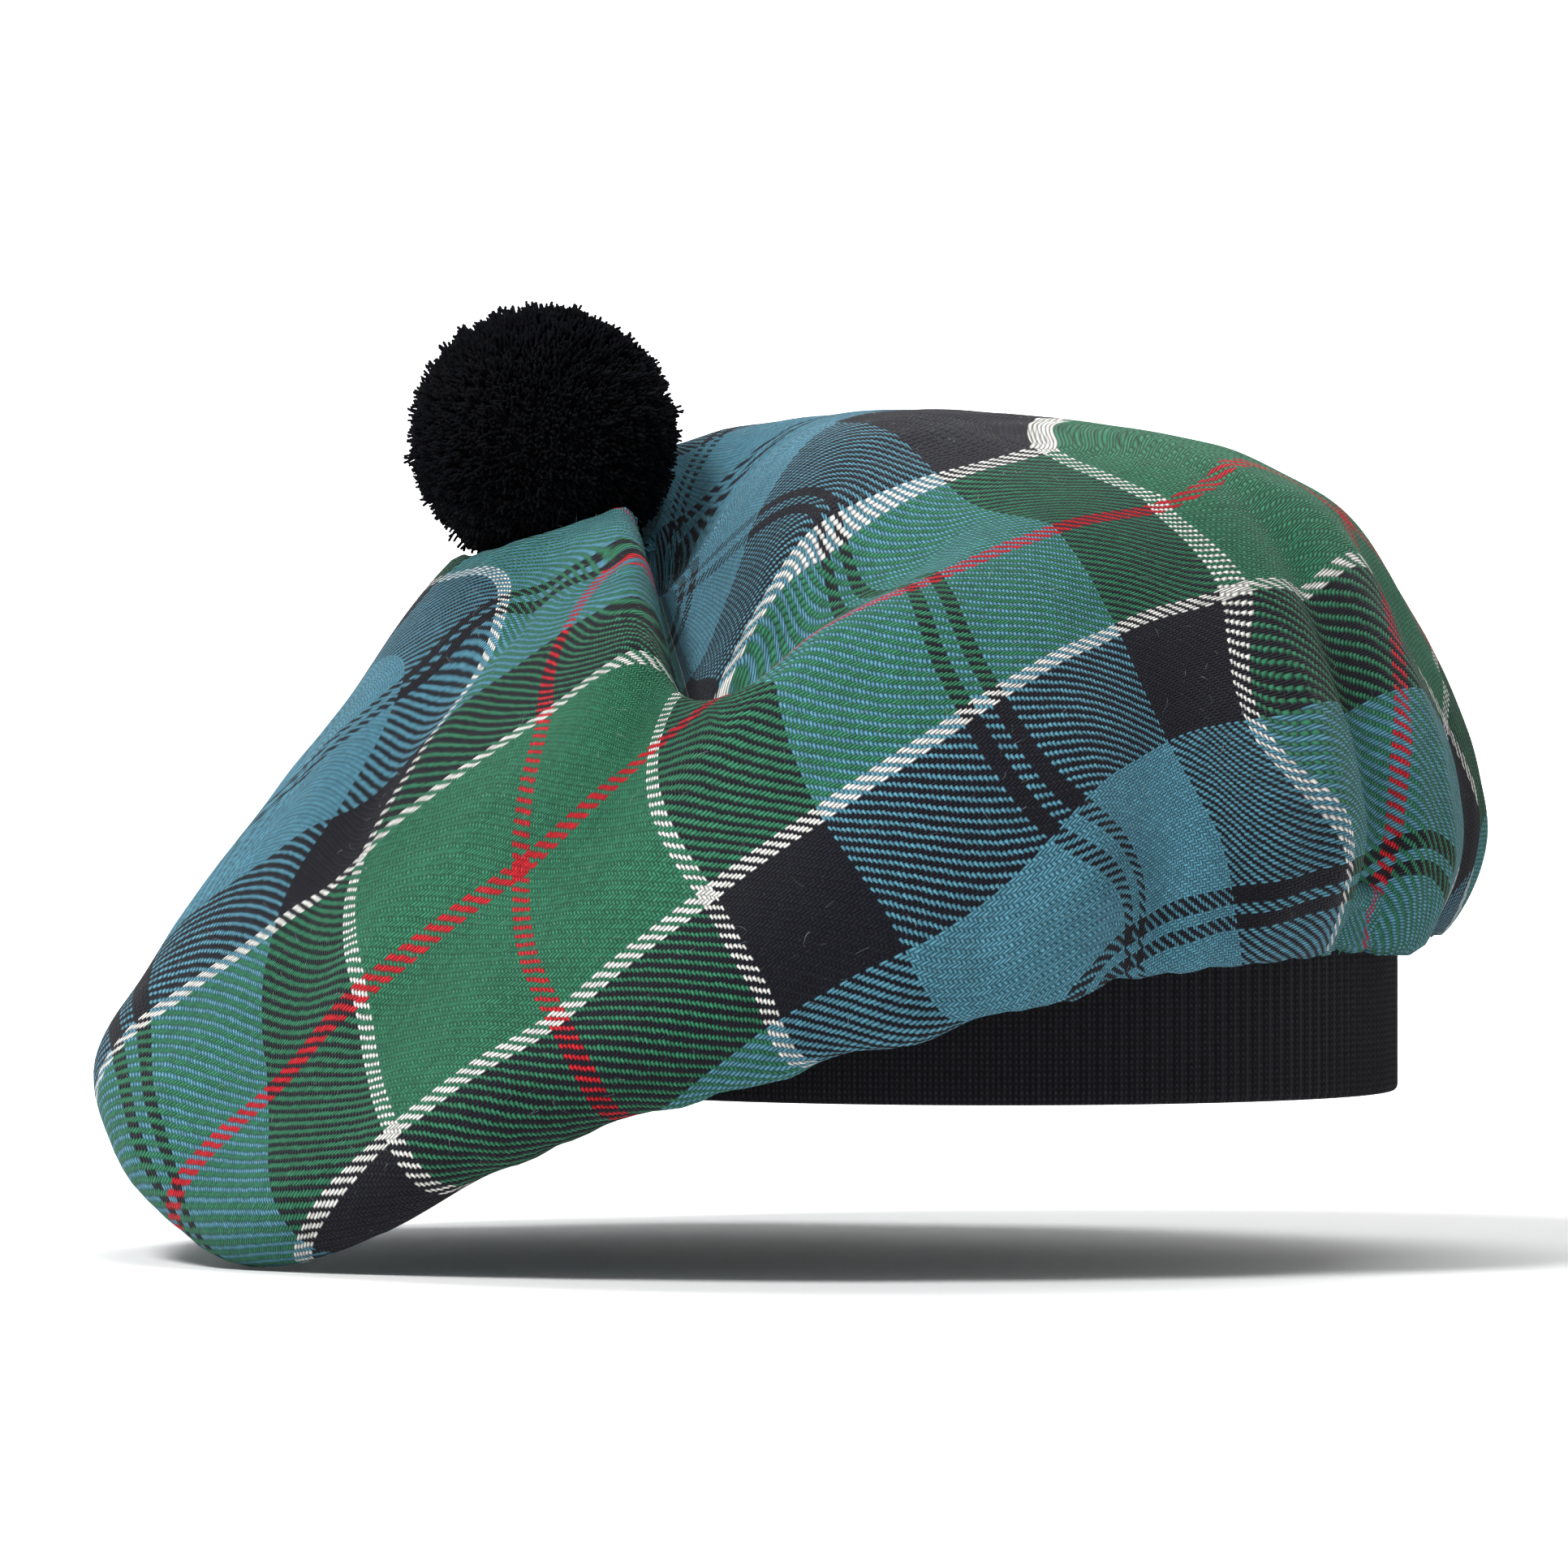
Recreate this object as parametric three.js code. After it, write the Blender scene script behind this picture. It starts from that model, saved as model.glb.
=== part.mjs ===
// A tartan tam o' shanter: a floppy one-piece cloth crown gathered to a ribbed headband, with a yarn
// toorie on top. Millimetres, +Z up, +X to the wearer's left, -Y the way the wearer faces.
// The origin is the middle of the headband's lower edge, where a head goes in.
import * as THREE from "three";

// ---- Driving dimensions -------------------------------------------------------------------------
const GAP = 0.4; // clearance between neighbouring pieces

// The headband is an oval, deeper than it is wide, as a head is.
const BAND_HALF_WIDTH = 77;
const BAND_HALF_DEPTH = 100;
const BAND_HEIGHT = 35;
const BAND_WALL = 3.2;
const BAND_EDGE_ROUND = 1.2;
const BAND_STEPS = 96;

// The crown's cloth, its middle where the toorie is sewn on, and the middle of its outline from above.
const CLOTH = 2;
const CROWN_PEAK = { x: -75, y: 40, z: 106 };
const CROWN_MIDDLE = { x: -38, y: 12 };
const CROWN_STEPS_ROUND = 88;
const CROWN_STEPS_DOWN = 21;
const CREST_AT = 0.22; // shares of the way out from the peak to the rim
const DOME_AT = 0.55;
const SHOULDER_AT = 0.85;
const SHOULDER_SWELL = 0.3; // share of a lobe's swell that reaches up to the shoulder
const HEM_INSET = 7; // how far the hem is tucked back from the rim
const SEAM_RISE = 2; // the seam's height over the top of the headband
const HEM_GAP = 1.2; // between the headband and cloth that hangs beside it
const LIP_BEYOND = 5; // how far outside the headband the cloth starts to turn down

// The toorie is a ball of yarn, a little flatter than it is wide.
const TOORIE = { x: -85.5, y: 36, z: 124.6, radius: 26.1, height: 25.7 };
const NEST_GAP = 2; // between the yarn and the cloth that it is sewn to
const TOORIE_STEPS_ROUND = 28;
const TOORIE_STEPS_DOWN = 18;

// The crown's sections, one for each bearing from its middle (0 = +X, 90 = back, 270 = front):
// how far out the rim is, then the heights of the crest, dome, shoulder, rim and hem.
const SECTIONS = [
  { bearing: 0, reach: 129, crest: 126, dome: 126, shoulder: 109, rim: 50, hem: 29 },
  { bearing: 30, reach: 133, crest: 128, dome: 120, shoulder: 98, rim: 47, hem: 26 },
  { bearing: 60, reach: 138, crest: 127, dome: 110, shoulder: 80, rim: 36, hem: 17 },
  { bearing: 90, reach: 141, crest: 121, dome: 95, shoulder: 58, rim: 20, hem: 4 },
  { bearing: 120, reach: 138, crest: 111, dome: 78, shoulder: 38, rim: 7, hem: -8 },
  { bearing: 150, reach: 133, crest: 103, dome: 70, shoulder: 29, rim: 0, hem: -13 },
  { bearing: 180, reach: 131.5, crest: 105, dome: 68, shoulder: 29, rim: 2, hem: -10 },
  { bearing: 198, reach: 130, crest: 103, dome: 66, shoulder: 15, rim: -11, hem: -21 },
  { bearing: 214, reach: 126, crest: 103, dome: 66, shoulder: 6, rim: -22, hem: -31 },
  { bearing: 230, reach: 126, crest: 101, dome: 70, shoulder: 13, rim: -15, hem: -25 },
  { bearing: 246, reach: 131, crest: 99, dome: 77, shoulder: 29, rim: -1, hem: -10 },
  { bearing: 262, reach: 138, crest: 98, dome: 82, shoulder: 50, rim: 15, hem: 2 },
  { bearing: 278, reach: 142, crest: 105, dome: 93, shoulder: 80, rim: 38, hem: 13 },
  { bearing: 294, reach: 142, crest: 116, dome: 110, shoulder: 95, rim: 48, hem: 22 },
  { bearing: 312, reach: 137, crest: 122, dome: 120, shoulder: 103, rim: 51, hem: 26 },
  { bearing: 336, reach: 130, crest: 125, dome: 125, shoulder: 109, rim: 50, hem: 26 },
];

// Folds of the crown's top: a trough (depth over 0) or ridge (depth under 0) along a line seen from
// above, with how far it spreads to the left and right of that line, going from its start to its end.
const FOLDS = [
  { name: "valley from the toorie", from: [-63, 30], to: [-53, -66], depth: 21, left: 18, right: 5 },
  { name: "ridge beside the valley", from: [-72, 18], to: [-68, -66], depth: -9, left: 6, right: 13 },
  { name: "hollow of the dome", from: [-40, -56], to: [-18, -72], depth: 7, left: 16, right: 16 },
  { name: "brow below the hollow", from: [-50, -96], to: [-14, -104], depth: -4, left: 10, right: 10 },
  { name: "crease of the left side", from: [-90, -12], to: [-118, -20], depth: 4, left: 9, right: 9 },
  { name: "swell of the left side", from: [-70, -72], to: [-116, -52], depth: -4, left: 12, right: 12 },
];
const FOLDS_UNTIL = 0.62; // share of a section below which the folds have faded out
const FOLDS_FADE = 0.16;
const SIDE_BLEND = 8; // how far either side of its line a fold changes from one spread to the other

// Lobes where the cloth is gathered to the band: bearing, half width in degrees, and how far the
// wall swells out (or, under 0, is drawn in) there.
const LOBES = [
  { name: "front lobe", bearing: 312, spread: 8, swell: 5 },
  { name: "notch beside it", bearing: 325, spread: 4, swell: -8 },
  { name: "side lobe", bearing: 336, spread: 6, swell: 3 },
  { name: "side notch", bearing: 348, spread: 4, swell: -4 },
  { name: "right lobe", bearing: 2, spread: 6, swell: 2 },
  { name: "front notch", bearing: 298, spread: 4, swell: -5 },
  { name: "back notch", bearing: 44, spread: 6, swell: -6 },
  { name: "rear notch", bearing: 78, spread: 7, swell: -6 },
  { name: "far notch", bearing: 114, spread: 7, swell: -6 },
  { name: "left notch", bearing: 160, spread: 6, swell: -4 },
];

const TURN = 2 * Math.PI;
const radians = THREE.MathUtils.degToRad;
const lerp = THREE.MathUtils.lerp;

// ---- Helpers ------------------------------------------------------------------------------------

// A closed mesh from rings of points: ring after ring is joined, and the last joins the first when
// the profile is a loop. A ring of one point is a pole.
function skinRings(rings, loops) {
  const positions = [];
  const starts = rings.map((ring) => {
    const start = positions.length / 3;
    ring.forEach((point) => positions.push(point.x, point.y, point.z));
    return start;
  });
  const faces = [];
  const count = loops ? rings.length : rings.length - 1;
  for (let i = 0; i < count; i++) {
    const j = (i + 1) % rings.length;
    const steps = Math.max(rings[i].length, rings[j].length);
    const at = (ring, k) => starts[ring] + (rings[ring].length === 1 ? 0 : k % steps);
    for (let k = 0; k < steps; k++) {
      if (rings[i].length > 1) faces.push(at(i, k), at(j, k), at(i, k + 1));
      if (rings[j].length > 1) faces.push(at(i, k + 1), at(j, k), at(j, k + 1));
    }
  }
  const geometry = new THREE.BufferGeometry();
  geometry.setAttribute("position", new THREE.Float32BufferAttribute(positions, 3));
  geometry.setIndex(faces);
  geometry.computeVertexNormals();
  return geometry;
}

// A value from the table of sections at any bearing, on a smooth closed curve through its rows.
function sectionValue(column, bearing) {
  const count = SECTIONS.length;
  const angle = ((bearing % 360) + 360) % 360;
  let row = count - 1;
  while (SECTIONS[row].bearing > angle) row--;
  const value = (index) => SECTIONS[(index + count) % count][column];
  const start = SECTIONS[row].bearing;
  const end = row === count - 1 ? 360 : SECTIONS[row + 1].bearing;
  const t = (angle - start) / (end - start);
  const [a, b, c, d] = [value(row - 1), value(row), value(row + 1), value(row + 2)];
  const bend = 2 * a - 5 * b + 4 * c - d;
  const twist = 3 * (b - c) + d - a;
  return b + 0.5 * t * (c - a + t * (bend + t * twist));
}

// How far the folds lower the top at a place seen from above.
function foldDepth(x, y) {
  const place = new THREE.Vector2(x, y);
  return FOLDS.reduce((sum, fold) => {
    const start = new THREE.Vector2(...fold.from);
    const along = new THREE.Vector2(...fold.to).sub(start);
    const offset = place.clone().sub(start);
    const share = THREE.MathUtils.clamp(offset.dot(along) / along.lengthSq(), 0, 1);
    const sideways = along.cross(offset) / along.length();
    const leftness = THREE.MathUtils.smoothstep(sideways, -SIDE_BLEND, SIDE_BLEND);
    const spread = lerp(fold.right, fold.left, leftness);
    const away = start.addScaledVector(along, share).distanceTo(place) / spread;
    return sum + fold.depth * Math.exp(-away * away);
  }, 0);
}

// How far the lobes swell the wall out at a bearing.
function lobeSwell(bearing) {
  return LOBES.reduce((sum, lobe) => {
    const turned = ((bearing - lobe.bearing + 540) % 360) - 180;
    return sum + lobe.swell * Math.exp(-((turned / lobe.spread) ** 2));
  }, 0);
}

// ---- Crown --------------------------------------------------------------------------------------

// One section of the crown, from the peak over crest, shoulder, rim and hem to the band.
function crownSection(bearing) {
  const angle = radians(bearing);
  const out = new THREE.Vector2(Math.cos(angle), Math.sin(angle));
  const reach = sectionValue("reach", bearing);
  const swell = lobeSwell(bearing);
  const rimX = CROWN_MIDDLE.x + reach * out.x;
  const rimY = CROWN_MIDDLE.y + reach * out.y;
  const at = (share, z, push = 0) =>
    new THREE.Vector3(
      lerp(CROWN_PEAK.x, rimX, share) + push * out.x,
      lerp(CROWN_PEAK.y, rimY, share) + push * out.y,
      z,
    );
  const onBand = (beyond) =>
    new THREE.Vector3(
      (BAND_HALF_WIDTH + beyond) * out.x,
      (BAND_HALF_DEPTH + beyond) * out.y,
      BAND_HEIGHT + GAP + CLOTH / 2 + SEAM_RISE,
    );
  const seam = onBand(-BAND_WALL / 2);
  const lip = onBand(LIP_BEYOND);
  const hem = at(1, sectionValue("hem", bearing) + CLOTH / 2, swell - HEM_INSET);
  return new THREE.CatmullRomCurve3(
    [
      at(0, CROWN_PEAK.z),
      at(CREST_AT, sectionValue("crest", bearing)),
      at(DOME_AT, sectionValue("dome", bearing)),
      at(SHOULDER_AT, sectionValue("shoulder", bearing), swell * SHOULDER_SWELL),
      at(1, sectionValue("rim", bearing), swell),
      hem,
      lip,
      seam,
    ],
    false,
    "centripetal",
  );
}

// Keeps a point of the cloth clear of the toorie, which nests in it.
function clearOfToorie(point) {
  const middle = new THREE.Vector3(TOORIE.x, TOORIE.y, TOORIE.z);
  const away = point.clone().sub(middle);
  const least = TOORIE.radius + NEST_GAP + CLOTH / 2;
  if (away.length() < least) point.copy(away.setLength(least).add(middle));
  return point;
}

// Keeps a point of the cloth that hangs beside the headband clear of it.
function clearOfBand(point) {
  const margin = CLOTH / 2 + HEM_GAP;
  const spread = Math.hypot(point.x / (BAND_HALF_WIDTH + margin), point.y / (BAND_HALF_DEPTH + margin));
  if (point.z < BAND_HEIGHT + margin && spread < 1) {
    point.x /= spread;
    point.y /= spread;
  }
  return point;
}

// The middle surface of the crown's cloth, ring by ring from the peak to the band.
function crownRings() {
  const sections = Array.from({ length: CROWN_STEPS_ROUND }, (_, k) =>
    crownSection((k * 360) / CROWN_STEPS_ROUND),
  );
  const rings = [];
  for (let i = 0; i <= CROWN_STEPS_DOWN; i++) {
    const share = i / CROWN_STEPS_DOWN;
    const ring = sections.map((section) => {
      const point = section.getPointAt(share);
      const above = THREE.MathUtils.smoothstep(FOLDS_UNTIL - share, 0, FOLDS_FADE);
      point.z -= foldDepth(point.x, point.y) * above;
      return clearOfBand(clearOfToorie(point));
    });
    rings.push(i === 0 ? [ring[0]] : ring);
  }
  return rings;
}

// The cloth's two faces, half its thickness each side of the middle surface.
function makeCrown() {
  const rings = crownRings();
  const normals = skinRings(rings, false).getAttribute("normal");
  let index = 0;
  const faces = rings.map((ring) =>
    ring.map((point) => {
      const normal = new THREE.Vector3().fromBufferAttribute(normals, index++);
      const offset = (side) => point.clone().addScaledVector(normal, (side * CLOTH) / 2);
      return { outer: offset(1), inner: offset(-1) };
    }),
  );
  const outer = faces.map((ring) => ring.map((pair) => pair.outer));
  const inner = faces.map((ring) => ring.map((pair) => pair.inner)).reverse();
  return skinRings([...outer, ...inner], false);
}

// ---- Headband -----------------------------------------------------------------------------------

function makeHeadband() {
  const round = BAND_EDGE_ROUND;
  const inset = BAND_WALL;
  const profile = [
    { inset: 0, z: round },
    { inset: 0, z: BAND_HEIGHT - round },
    { inset: round, z: BAND_HEIGHT },
    { inset, z: BAND_HEIGHT },
    { inset, z: 0 },
    { inset: round, z: 0 },
  ];
  const rings = profile.map((corner) =>
    Array.from({ length: BAND_STEPS }, (_, k) => {
      const angle = (k * TURN) / BAND_STEPS;
      return new THREE.Vector3(
        (BAND_HALF_WIDTH - corner.inset) * Math.cos(angle),
        (BAND_HALF_DEPTH - corner.inset) * Math.sin(angle),
        corner.z,
      );
    }),
  );
  return skinRings(rings.reverse(), true);
}

// ---- Toorie -------------------------------------------------------------------------------------

function makeToorie() {
  const ball = new THREE.SphereGeometry(TOORIE.radius, TOORIE_STEPS_ROUND, TOORIE_STEPS_DOWN);
  ball.rotateX(Math.PI / 2);
  ball.scale(1, 1, TOORIE.height / TOORIE.radius);
  return ball;
}

// ---- The tam ------------------------------------------------------------------------------------

const tartanCloth = new THREE.MeshStandardMaterial({ color: 0x2f5a58, roughness: 0.9, metalness: 0 });
const ribKnit = new THREE.MeshStandardMaterial({ color: 0x0c0c10, roughness: 0.85, metalness: 0 });
const pompomYarn = new THREE.MeshStandardMaterial({ color: 0x07080b, roughness: 1, metalness: 0 });

function piece(name, geometry, material) {
  const mesh = new THREE.Mesh(geometry, material);
  mesh.name = name;
  return mesh;
}

const tam = new THREE.Group();
tam.name = "tam_o_shanter";
tam.add(piece("crown", makeCrown(), tartanCloth));
tam.add(piece("headband", makeHeadband(), ribKnit));
const toorie = piece("toorie", makeToorie(), pompomYarn);
toorie.position.set(TOORIE.x, TOORIE.y, TOORIE.z);
tam.add(toorie);

export default tam;
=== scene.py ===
"""A tartan tam o' shanter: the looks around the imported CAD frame, in that frame.

The crown is one fine cloth shell on the same surface as the CAD crown, with gathers, stray fibres
and a twill-woven tartan laid over it thread by thread. The headband is rib knit, and the toorie is
a ball of yarn ends. Shapes are worked out in millimetres, and the meshes are in metres.
"""

import math
import random

import bpy
import numpy as np
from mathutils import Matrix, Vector, noise
from mathutils.bvhtree import BVHTree


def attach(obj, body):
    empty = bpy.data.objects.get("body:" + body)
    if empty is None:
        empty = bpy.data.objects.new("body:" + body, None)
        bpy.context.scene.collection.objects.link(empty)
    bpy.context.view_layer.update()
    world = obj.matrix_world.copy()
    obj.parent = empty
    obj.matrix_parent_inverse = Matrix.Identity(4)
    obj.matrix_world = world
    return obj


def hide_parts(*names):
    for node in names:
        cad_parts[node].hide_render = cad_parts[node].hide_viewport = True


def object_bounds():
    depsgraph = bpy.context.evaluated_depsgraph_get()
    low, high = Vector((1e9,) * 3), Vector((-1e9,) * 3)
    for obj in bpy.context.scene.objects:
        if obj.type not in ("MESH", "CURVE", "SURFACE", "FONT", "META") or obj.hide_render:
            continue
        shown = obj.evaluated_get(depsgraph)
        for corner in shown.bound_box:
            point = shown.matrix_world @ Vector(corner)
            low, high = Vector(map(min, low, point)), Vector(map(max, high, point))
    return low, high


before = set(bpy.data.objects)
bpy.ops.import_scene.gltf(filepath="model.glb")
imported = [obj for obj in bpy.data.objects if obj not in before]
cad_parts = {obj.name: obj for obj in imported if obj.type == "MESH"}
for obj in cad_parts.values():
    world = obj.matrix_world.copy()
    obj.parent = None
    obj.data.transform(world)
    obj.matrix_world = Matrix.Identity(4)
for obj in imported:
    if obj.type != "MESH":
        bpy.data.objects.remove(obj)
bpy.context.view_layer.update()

MM = 0.001
TURN = 2 * math.pi

# ---- The crown's shape, in millimetres, as in the CAD model --------------------------------------
BAND_HALF_WIDTH = 77
BAND_HALF_DEPTH = 100
BAND_HEIGHT = 35
BAND_WALL = 3.2
GAP = 0.4
CLOTH = 2
CROWN_PEAK = (-75, 40, 106)
CROWN_MIDDLE = (-38, 12)
CREST_AT = 0.22
DOME_AT = 0.55
SHOULDER_AT = 0.85
SHOULDER_SWELL = 0.3
HEM_INSET = 7
SEAM_RISE = 2
HEM_GAP = 1.2
LIP_BEYOND = 5
FOLDS_UNTIL = 0.62  # share of a section below which the folds have faded out
FOLDS_FADE = 0.16
TOORIE = (-85.5, 36, 124.6)
TOORIE_RADIUS = 26.1
TOORIE_HEIGHT = 25.7
NEST_GAP = 2
SIDE_BLEND = 8
SECTION_SAMPLES = 30  # places worked out from one knot of a section to the next

# bearing from the crown's middle (0 = +X, 90 = back), reach, then heights of crest, dome,
# shoulder, rim and hem
SECTIONS = np.array(
    [
        (0, 129, 126, 126, 109, 50, 29),
        (30, 133, 128, 120, 98, 47, 26),
        (60, 138, 127, 110, 80, 36, 17),
        (90, 141, 121, 95, 58, 20, 4),
        (120, 138, 111, 78, 38, 7, -8),
        (150, 133, 103, 70, 29, 0, -13),
        (180, 131.5, 105, 68, 29, 2, -10),
        (198, 130, 103, 66, 15, -11, -21),
        (214, 126, 103, 66, 6, -22, -31),
        (230, 126, 101, 70, 13, -15, -25),
        (246, 131, 99, 77, 29, -1, -10),
        (262, 138, 98, 82, 50, 15, 2),
        (278, 142, 105, 93, 80, 38, 13),
        (294, 142, 116, 110, 95, 48, 22),
        (312, 137, 122, 120, 103, 51, 26),
        (336, 130, 125, 125, 109, 50, 26),
    ],
    dtype=float,
)
BEARING, REACH, CREST, DOME, SHOULDER, RIM, HEM = range(7)

# from and to, seen from above, then depth and the spread to the left and right of that line
FOLDS = [
    ((-63, 30), (-53, -66), 21, 18, 5),
    ((-72, 18), (-68, -66), -9, 6, 13),
    ((-40, -56), (-18, -72), 7, 16, 16),
    ((-50, -96), (-14, -104), -4, 10, 10),
    ((-90, -12), (-118, -20), 4, 9, 9),
    ((-70, -72), (-116, -52), -4, 12, 12),
]

# bearing, spread and swell of each lobe or notch of the wall
LOBES = [
    (312, 8, 5),
    (325, 4, -8),
    (336, 6, 3),
    (348, 4, -4),
    (2, 6, 2),
    (298, 4, -5),
    (44, 6, -6),
    (78, 7, -6),
    (114, 7, -6),
    (160, 6, -4),
]

# ---- The cloth -----------------------------------------------------------------------------------
CROWN_COLUMNS = 340
CROWN_ROWS = 140
THREAD = 0.74  # mm from one thread to the next
HALF_SETT = 133  # threads from the middle of the red line to the middle of the tram lines
CLOTH_MIDDLE = (25, 205)  # the thread under the toorie, as (s, t)

# Where the tartan lies: x and z in mm of a place on the crown's front, seen square on, and the
# threads (s, t) that cross there, counted from a crossing of two red lines.
TARTAN_FRONT = [
    # left panel
    (-86, 43, 0, 0),
    (-116, 18, -49, 0),
    (-151, -20, -133, 0),
    (-117, 44, -49, 49),
    (-109, -4, -49, -49),
    (-79, 16, 0, -49),
    (-82, 71, 0, 49),
    (-62, 65, 49, 0),
    (-78, 88, 0, 87),
    (-72, 97, 0, 133),
    (-168, 1, -145, 49),
    (-164, 16, -133, 75),
    (-127, -28, -95, -49),
    (-103, -14, -49, -66),
    (-70, 0, 0, -80),
    (-93, 88, -49, 118),
    (-92, 96, -49, 150),
    (-105, 79, -75, 133),
    (-130, 69, -115, 133),
    (-71, 87, 22, 82),
    (-67, 77, 30, 47),
    (-75, 108, -15, 180),
    # front
    (-52, 37, 49, -49),
    (-42, 17, 49, -87),
    (-27, 56, 97, -49),
    (-3, 72, 133, -49),
    (10, 50, 133, -87),
    (22, 40, 133, -120),
    (21, 85, 179, -49),
    (44, 93, 217, -49),
    (44, 69, 217, -87),
    (47, 62, 217, -95),
    (63, 44, 217, -127),
    (-4, 19, 95, -110),
    # dome
    (-56, 68, 60, 0),
    (-14, 93, 133, 0),
    (29, 108, 217, 0),
    (-51, 76, 86, 49),
    (-40, 93, 105, 49),
    (-29, 102, 133, 49),
    (10, 119, 217, 49),
    (-60, 107, 133, 133),
    (-46, 118, 165, 133),
    (-45, 105, 133, 87),
    # right
    (72, 94, 266, -56),
    (74, 74, 266, -87),
    (70, 48, 266, -127),
    (70, 40, 266, -139),
]

# How the cloth lies on the rest of the crown: a section's bearing, which way the cloth runs there
# in degrees from s towards t, and the threads tucked away between the toorie and that side.
TARTAN_BACK = [
    (0, -34, 100),
    (30, -10, 60),
    (60, 22, 35),
    (90, 62, 15),
    (120, 110, 0),
    (150, 163, 0),
]
BACK_SHARES = (0.25, 0.45, 0.65)

# The valley in front of the toorie hides some of the cloth, most of it close to the toorie.
TUCK_THREADS = 135
TUCK_ENDS = 1.35  # in lengths of the valley, from its start by the toorie
TUCK_HALF_WIDTH = 1.6  # mm
TUCK_FADES = (0.75, 0.95)  # shares of a section
FIT_SLACK = 90.0  # a larger number lets the cloth pass further from these places, and lie smoother


# ---- Numbers -------------------------------------------------------------------------------------


def smoothstep(value, low, high):
    share = np.clip((value - low) / (high - low), 0, 1)
    return share * share * (3 - 2 * share)


def degrees_from(middle, bearings):
    """How far round each bearing is from the middle one, from -180 to 180."""
    return np.mod(bearings - middle + 540, 360) - 180


def section_value(column, bearings):
    """A column of the table of sections at each bearing, on a smooth curve through its rows."""
    angles = np.mod(bearings, 360)
    starts = SECTIONS[:, BEARING]
    row = np.searchsorted(starts, angles, side="right") - 1
    ends = np.append(starts[1:], 360)
    t = (angles - starts[row]) / (ends[row] - starts[row])
    a, b, c, d = (SECTIONS[(row + step) % len(SECTIONS), column] for step in (-1, 0, 1, 2))
    bend = 2 * a - 5 * b + 4 * c - d
    twist = 3 * (b - c) + d - a
    return b + 0.5 * t * (c - a + t * (bend + t * twist))


def beside_line(x, y, start, end):
    """How far along a line (0 to 1 at its ends) and how far to its left each place is."""
    dx, dy = end[0] - start[0], end[1] - start[1]
    length = math.hypot(dx, dy)
    along = ((x - start[0]) * dx + (y - start[1]) * dy) / length**2
    left = (dx * (y - start[1]) - dy * (x - start[0])) / length
    return along, left


def fold_depth(x, y):
    """How far the folds push the cloth down at each place seen from above."""
    total = np.zeros_like(x)
    for start, end, depth, spread_left, spread_right in FOLDS:
        along, left = beside_line(x, y, start, end)
        share = np.clip(along, 0, 1)
        near_x = start[0] + share * (end[0] - start[0])
        near_y = start[1] + share * (end[1] - start[1])
        leftness = smoothstep(left, -SIDE_BLEND, SIDE_BLEND)
        spread = spread_right + (spread_left - spread_right) * leftness
        away = np.hypot(x - near_x, y - near_y) / spread
        total += depth * np.exp(-(away**2))
    return total


def lobe_swell(bearings):
    """How far the lobes and notches push the wall out at each bearing."""
    total = np.zeros_like(bearings)
    for bearing, spread, swell in LOBES:
        total += swell * np.exp(-((degrees_from(bearing, bearings) / spread) ** 2))
    return total


def spline(points, samples):
    """A centripetal curve through points[k], each an array of places, as in the CAD model."""
    first = 2 * points[0] - points[1]
    last = 2 * points[-1] - points[-2]
    knots = [first, *points, last]
    gaps = [
        np.sqrt(np.linalg.norm(b - a, axis=-1, keepdims=True)) for a, b in zip(knots, knots[1:])
    ]
    made = []
    for k in range(1, len(knots) - 2):
        p0, p1, p2, p3 = knots[k - 1 : k + 3]
        d0, d1, d2 = gaps[k - 1 : k + 2]
        m1 = ((p1 - p0) / d0 - (p2 - p0) / (d0 + d1) + (p2 - p1) / d1) * d1
        m2 = ((p2 - p1) / d1 - (p3 - p1) / (d1 + d2) + (p3 - p2) / d2) * d1
        for i in range(samples):
            t = i / samples
            made.append(
                p1
                + m1 * t
                + (3 * (p2 - p1) - 2 * m1 - m2) * t**2
                + (2 * (p1 - p2) + m1 + m2) * t**3
            )
    made.append(points[-1])
    return np.array(made)


# ---- The crown's middle surface ------------------------------------------------------------------


def crown_sections(bearings):
    """The knots of the crown's sections, one array of places for each knot."""
    angle = np.radians(bearings)
    out = np.stack([np.cos(angle), np.sin(angle)], -1)
    reach = section_value(REACH, bearings)[:, None]
    swell = lobe_swell(bearings)[:, None]
    rim = np.array(CROWN_MIDDLE) + reach * out

    def at(share, z, push=0.0):
        plan = np.array(CROWN_PEAK[:2]) * (1 - share) + rim * share + push * out
        return np.column_stack([plan, np.broadcast_to(z, len(bearings))])

    def on_band(beyond):
        plan = out * (BAND_HALF_WIDTH + beyond, BAND_HALF_DEPTH + beyond)
        rise = BAND_HEIGHT + GAP + CLOTH / 2 + SEAM_RISE
        return np.column_stack([plan, np.full(len(bearings), rise)])

    return [
        at(0, CROWN_PEAK[2]),
        at(CREST_AT, section_value(CREST, bearings)),
        at(DOME_AT, section_value(DOME, bearings)),
        at(SHOULDER_AT, section_value(SHOULDER, bearings), SHOULDER_SWELL * swell),
        at(1, section_value(RIM, bearings), swell),
        at(1, section_value(HEM, bearings) + CLOTH / 2, swell - HEM_INSET),
        on_band(LIP_BEYOND),
        on_band(-BAND_WALL / 2),
    ]


def clear_of_toorie(places):
    """The places, with those in the toorie's nest pushed out to its edge."""
    away = places - np.array(TOORIE)
    distance = np.linalg.norm(away, axis=-1, keepdims=True)
    least = TOORIE_RADIUS + NEST_GAP + CLOTH / 2
    return np.where(distance < least, np.array(TOORIE) + away / distance * least, places)


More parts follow.
